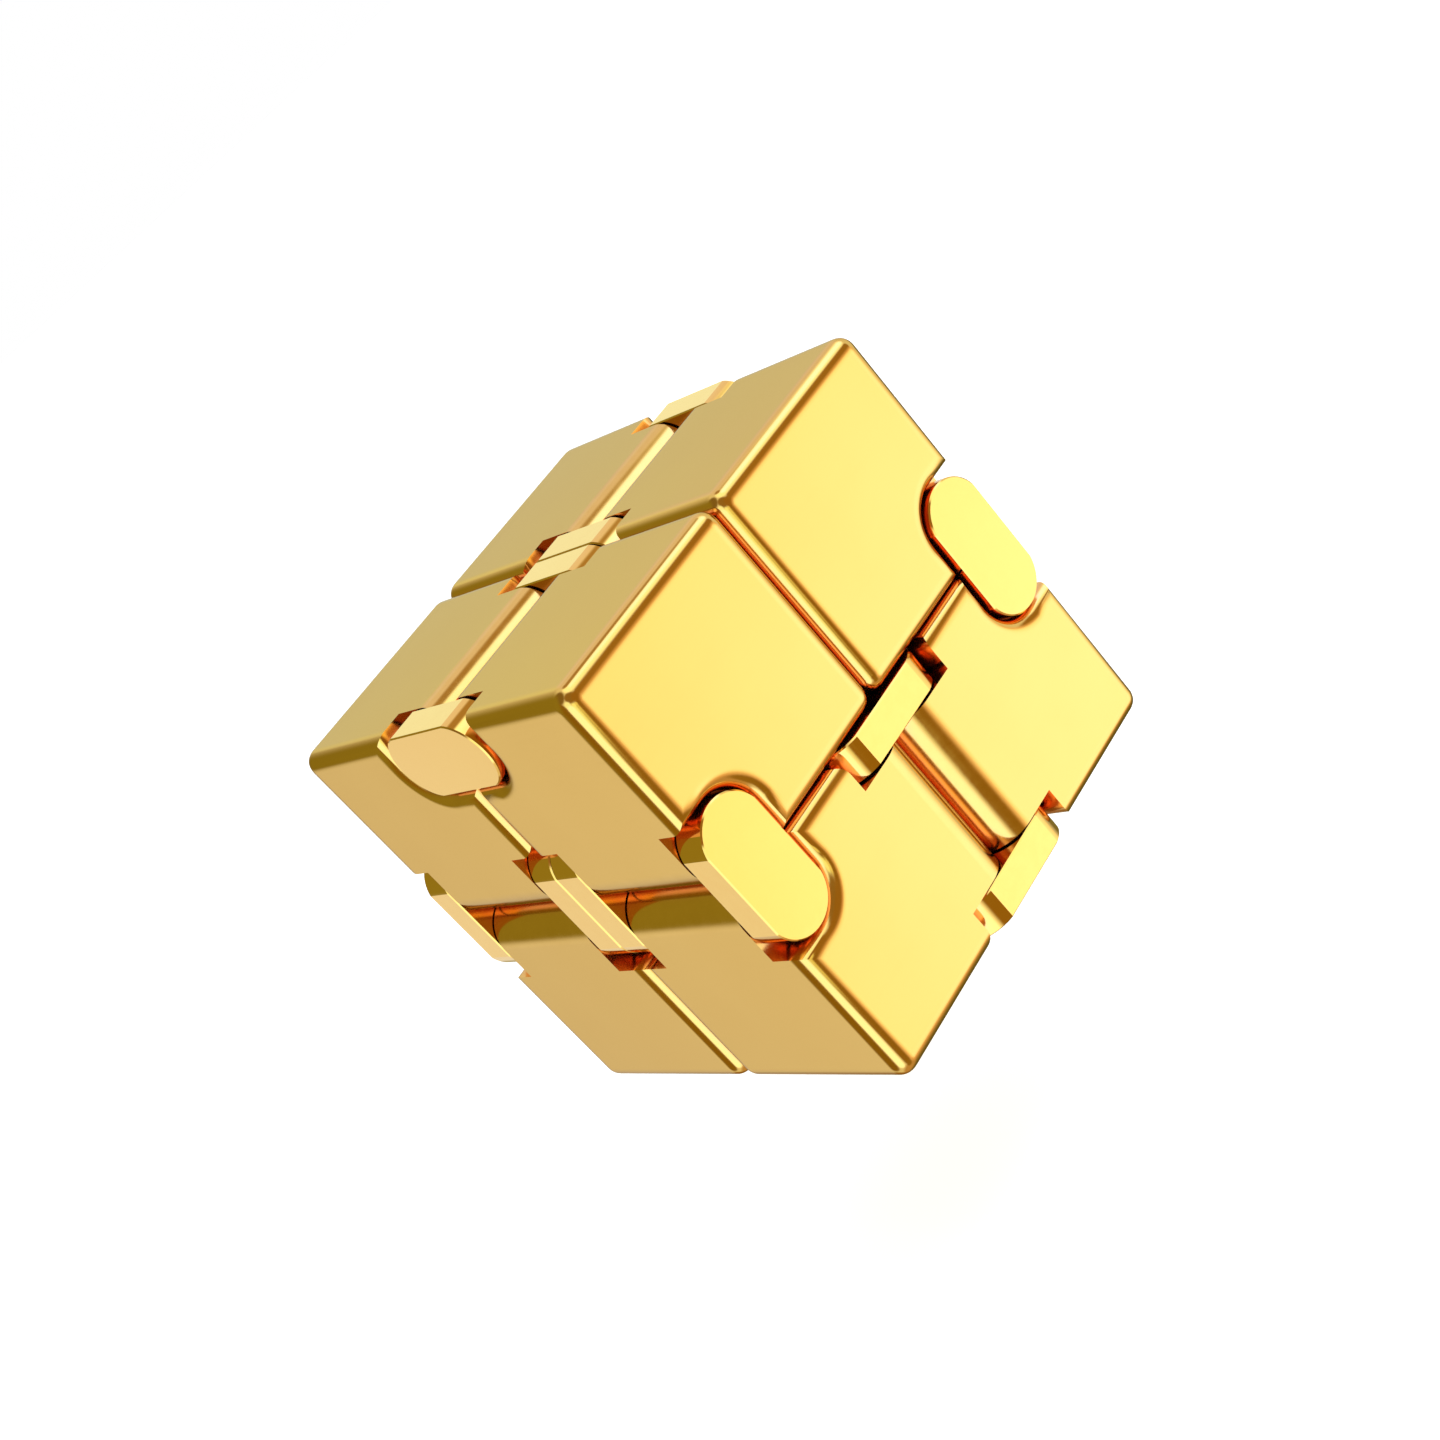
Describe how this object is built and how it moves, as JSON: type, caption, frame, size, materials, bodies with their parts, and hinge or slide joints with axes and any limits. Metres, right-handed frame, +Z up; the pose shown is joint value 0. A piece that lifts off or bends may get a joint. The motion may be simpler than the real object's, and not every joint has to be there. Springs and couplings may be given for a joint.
{
  "type": "infinity cube fidget toy",
  "caption": "Pocket-size metal cube of small blocks in a closed ring, joined by double-pin hinges so that it folds open and over itself again and again in the hand.",
  "frame": {"origin": "centre of the closed cube's bottom face", "axes": "+Z up, +X out of the front face (the one with an upright hinge in its lower half and two link plates standing on edge beside its upper seam), +Y out of the right face"},
  "size_m": [0.04, 0.04, 0.04],
  "materials": {
    "block": "polished gold-coloured anodised surface",
    "plate": "mirror-polished gold-coloured surface",
    "pin": "turned steel, hidden inside the hinge"
  },
  "bodies": {
    "rear_bottom": {"block_rear_bottom_right": "block", "block_rear_bottom_left": "block", "plate_rear_lower_inner": "plate", "plate_rear_lower_outer": "plate", "pin_rear_lower_left": "pin", "pin_rear_lower_right": "pin"},
    "right_rear_link": {"plate_right_rear_inner": "plate", "plate_right_rear_outer": "plate", "pin_right_rear_lower": "pin", "pin_right_rear_upper": "pin"},
    "rear_top_right": {"block_rear_top_right": "block"},
    "top_right_link": {"plate_top_right_inner": "plate", "plate_top_right_outer": "plate", "pin_top_right_rear": "pin", "pin_top_right_front": "pin"},
    "front_top_right": {"block_front_top_right": "block"},
    "right_front_link": {"plate_right_front_inner": "plate", "plate_right_front_outer": "plate", "pin_right_front_lower": "pin", "pin_right_front_upper": "pin"},
    "front_bottom_right": {"block_front_bottom_right": "block", "plate_front_lower_inner": "plate", "plate_front_lower_outer": "plate", "pin_front_lower_left": "pin", "pin_front_lower_right": "pin"},
    "left_rear_link": {"plate_left_rear_inner": "plate", "plate_left_rear_outer": "plate", "pin_left_rear_lower": "pin", "pin_left_rear_upper": "pin"},
    "rear_top_left": {"block_rear_top_left": "block"},
    "top_left_link": {"plate_top_left_inner": "plate", "plate_top_left_outer": "plate", "pin_top_left_rear": "pin", "pin_top_left_front": "pin"},
    "front_top_left": {"block_front_top_left": "block"},
    "left_front_link": {"plate_left_front_inner": "plate", "plate_left_front_outer": "plate", "pin_left_front_lower": "pin", "pin_left_front_upper": "pin"},
    "front_bottom_left": {"block_front_bottom_left": "block"}
  },
  "joints": [
    {"name": "right_swing", "type": "hinge", "parent": "rear_bottom", "child": "right_rear_link", "pos_m": [-0.01003, 0.01688, 0.01682], "axis": [-1, 0, 0], "range_deg": [0, 90]},
    {"name": "right_rear_upper", "type": "hinge", "parent": "right_rear_link", "child": "rear_top_right", "pos_m": [-0.01003, 0.01688, 0.02318], "axis": [-1, 0, 0], "range_deg": [0, 90]},
    {"name": "book_fold", "type": "hinge", "parent": "rear_top_right", "child": "top_right_link", "pos_m": [-0.00318, 0.01003, 0.03688], "axis": [0, -1, 0], "range_deg": [0, 90]},
    {"name": "top_right_front", "type": "hinge", "parent": "top_right_link", "child": "front_top_right", "pos_m": [0.00318, 0.01003, 0.03688], "axis": [0, -1, 0], "range_deg": [0, 90]},
    {"name": "right_front_upper", "type": "hinge", "parent": "front_top_right", "child": "right_front_link", "pos_m": [0.01003, 0.01688, 0.02318], "axis": [1, 0, 0], "range_deg": [0, 90]},
    {"name": "right_front_lower", "type": "hinge", "parent": "right_front_link", "child": "front_bottom_right", "pos_m": [0.01003, 0.01688, 0.01682], "axis": [1, 0, 0], "range_deg": [0, 90]},
    {"name": "left_swing", "type": "hinge", "parent": "rear_bottom", "child": "left_rear_link", "pos_m": [-0.01003, -0.01688, 0.01682], "axis": [1, 0, 0], "range_deg": [0, 90]},
    {"name": "left_rear_upper", "type": "hinge", "parent": "left_rear_link", "child": "rear_top_left", "pos_m": [-0.01003, -0.01688, 0.02318], "axis": [1, 0, 0], "range_deg": [0, 90]},
    {"name": "top_left_rear", "type": "hinge", "parent": "rear_top_left", "child": "top_left_link", "pos_m": [-0.00318, -0.01003, 0.03688], "axis": [0, -1, 0], "range_deg": [0, 90]},
    {"name": "top_left_front", "type": "hinge", "parent": "top_left_link", "child": "front_top_left", "pos_m": [0.00318, -0.01003, 0.03688], "axis": [0, -1, 0], "range_deg": [0, 90]},
    {"name": "left_front_upper", "type": "hinge", "parent": "front_top_left", "child": "left_front_link", "pos_m": [0.01003, -0.01688, 0.02318], "axis": [-1, 0, 0], "range_deg": [0, 90]},
    {"name": "left_front_lower", "type": "hinge", "parent": "left_front_link", "child": "front_bottom_left", "pos_m": [0.01003, -0.01688, 0.01682], "axis": [-1, 0, 0], "range_deg": [0, 90]}
  ],
  "couplings": [
    {"joint": "right_rear_upper", "follows": "right_swing", "ratio": 1},
    {"joint": "top_right_front", "follows": "book_fold", "ratio": 1},
    {"joint": "right_front_upper", "follows": "right_swing", "ratio": 1},
    {"joint": "right_front_lower", "follows": "right_swing", "ratio": 1},
    {"joint": "left_rear_upper", "follows": "left_swing", "ratio": 1},
    {"joint": "top_left_rear", "follows": "book_fold", "ratio": 1},
    {"joint": "top_left_front", "follows": "book_fold", "ratio": 1},
    {"joint": "left_front_upper", "follows": "left_swing", "ratio": 1},
    {"joint": "left_front_lower", "follows": "left_swing", "ratio": 1}
  ]
}
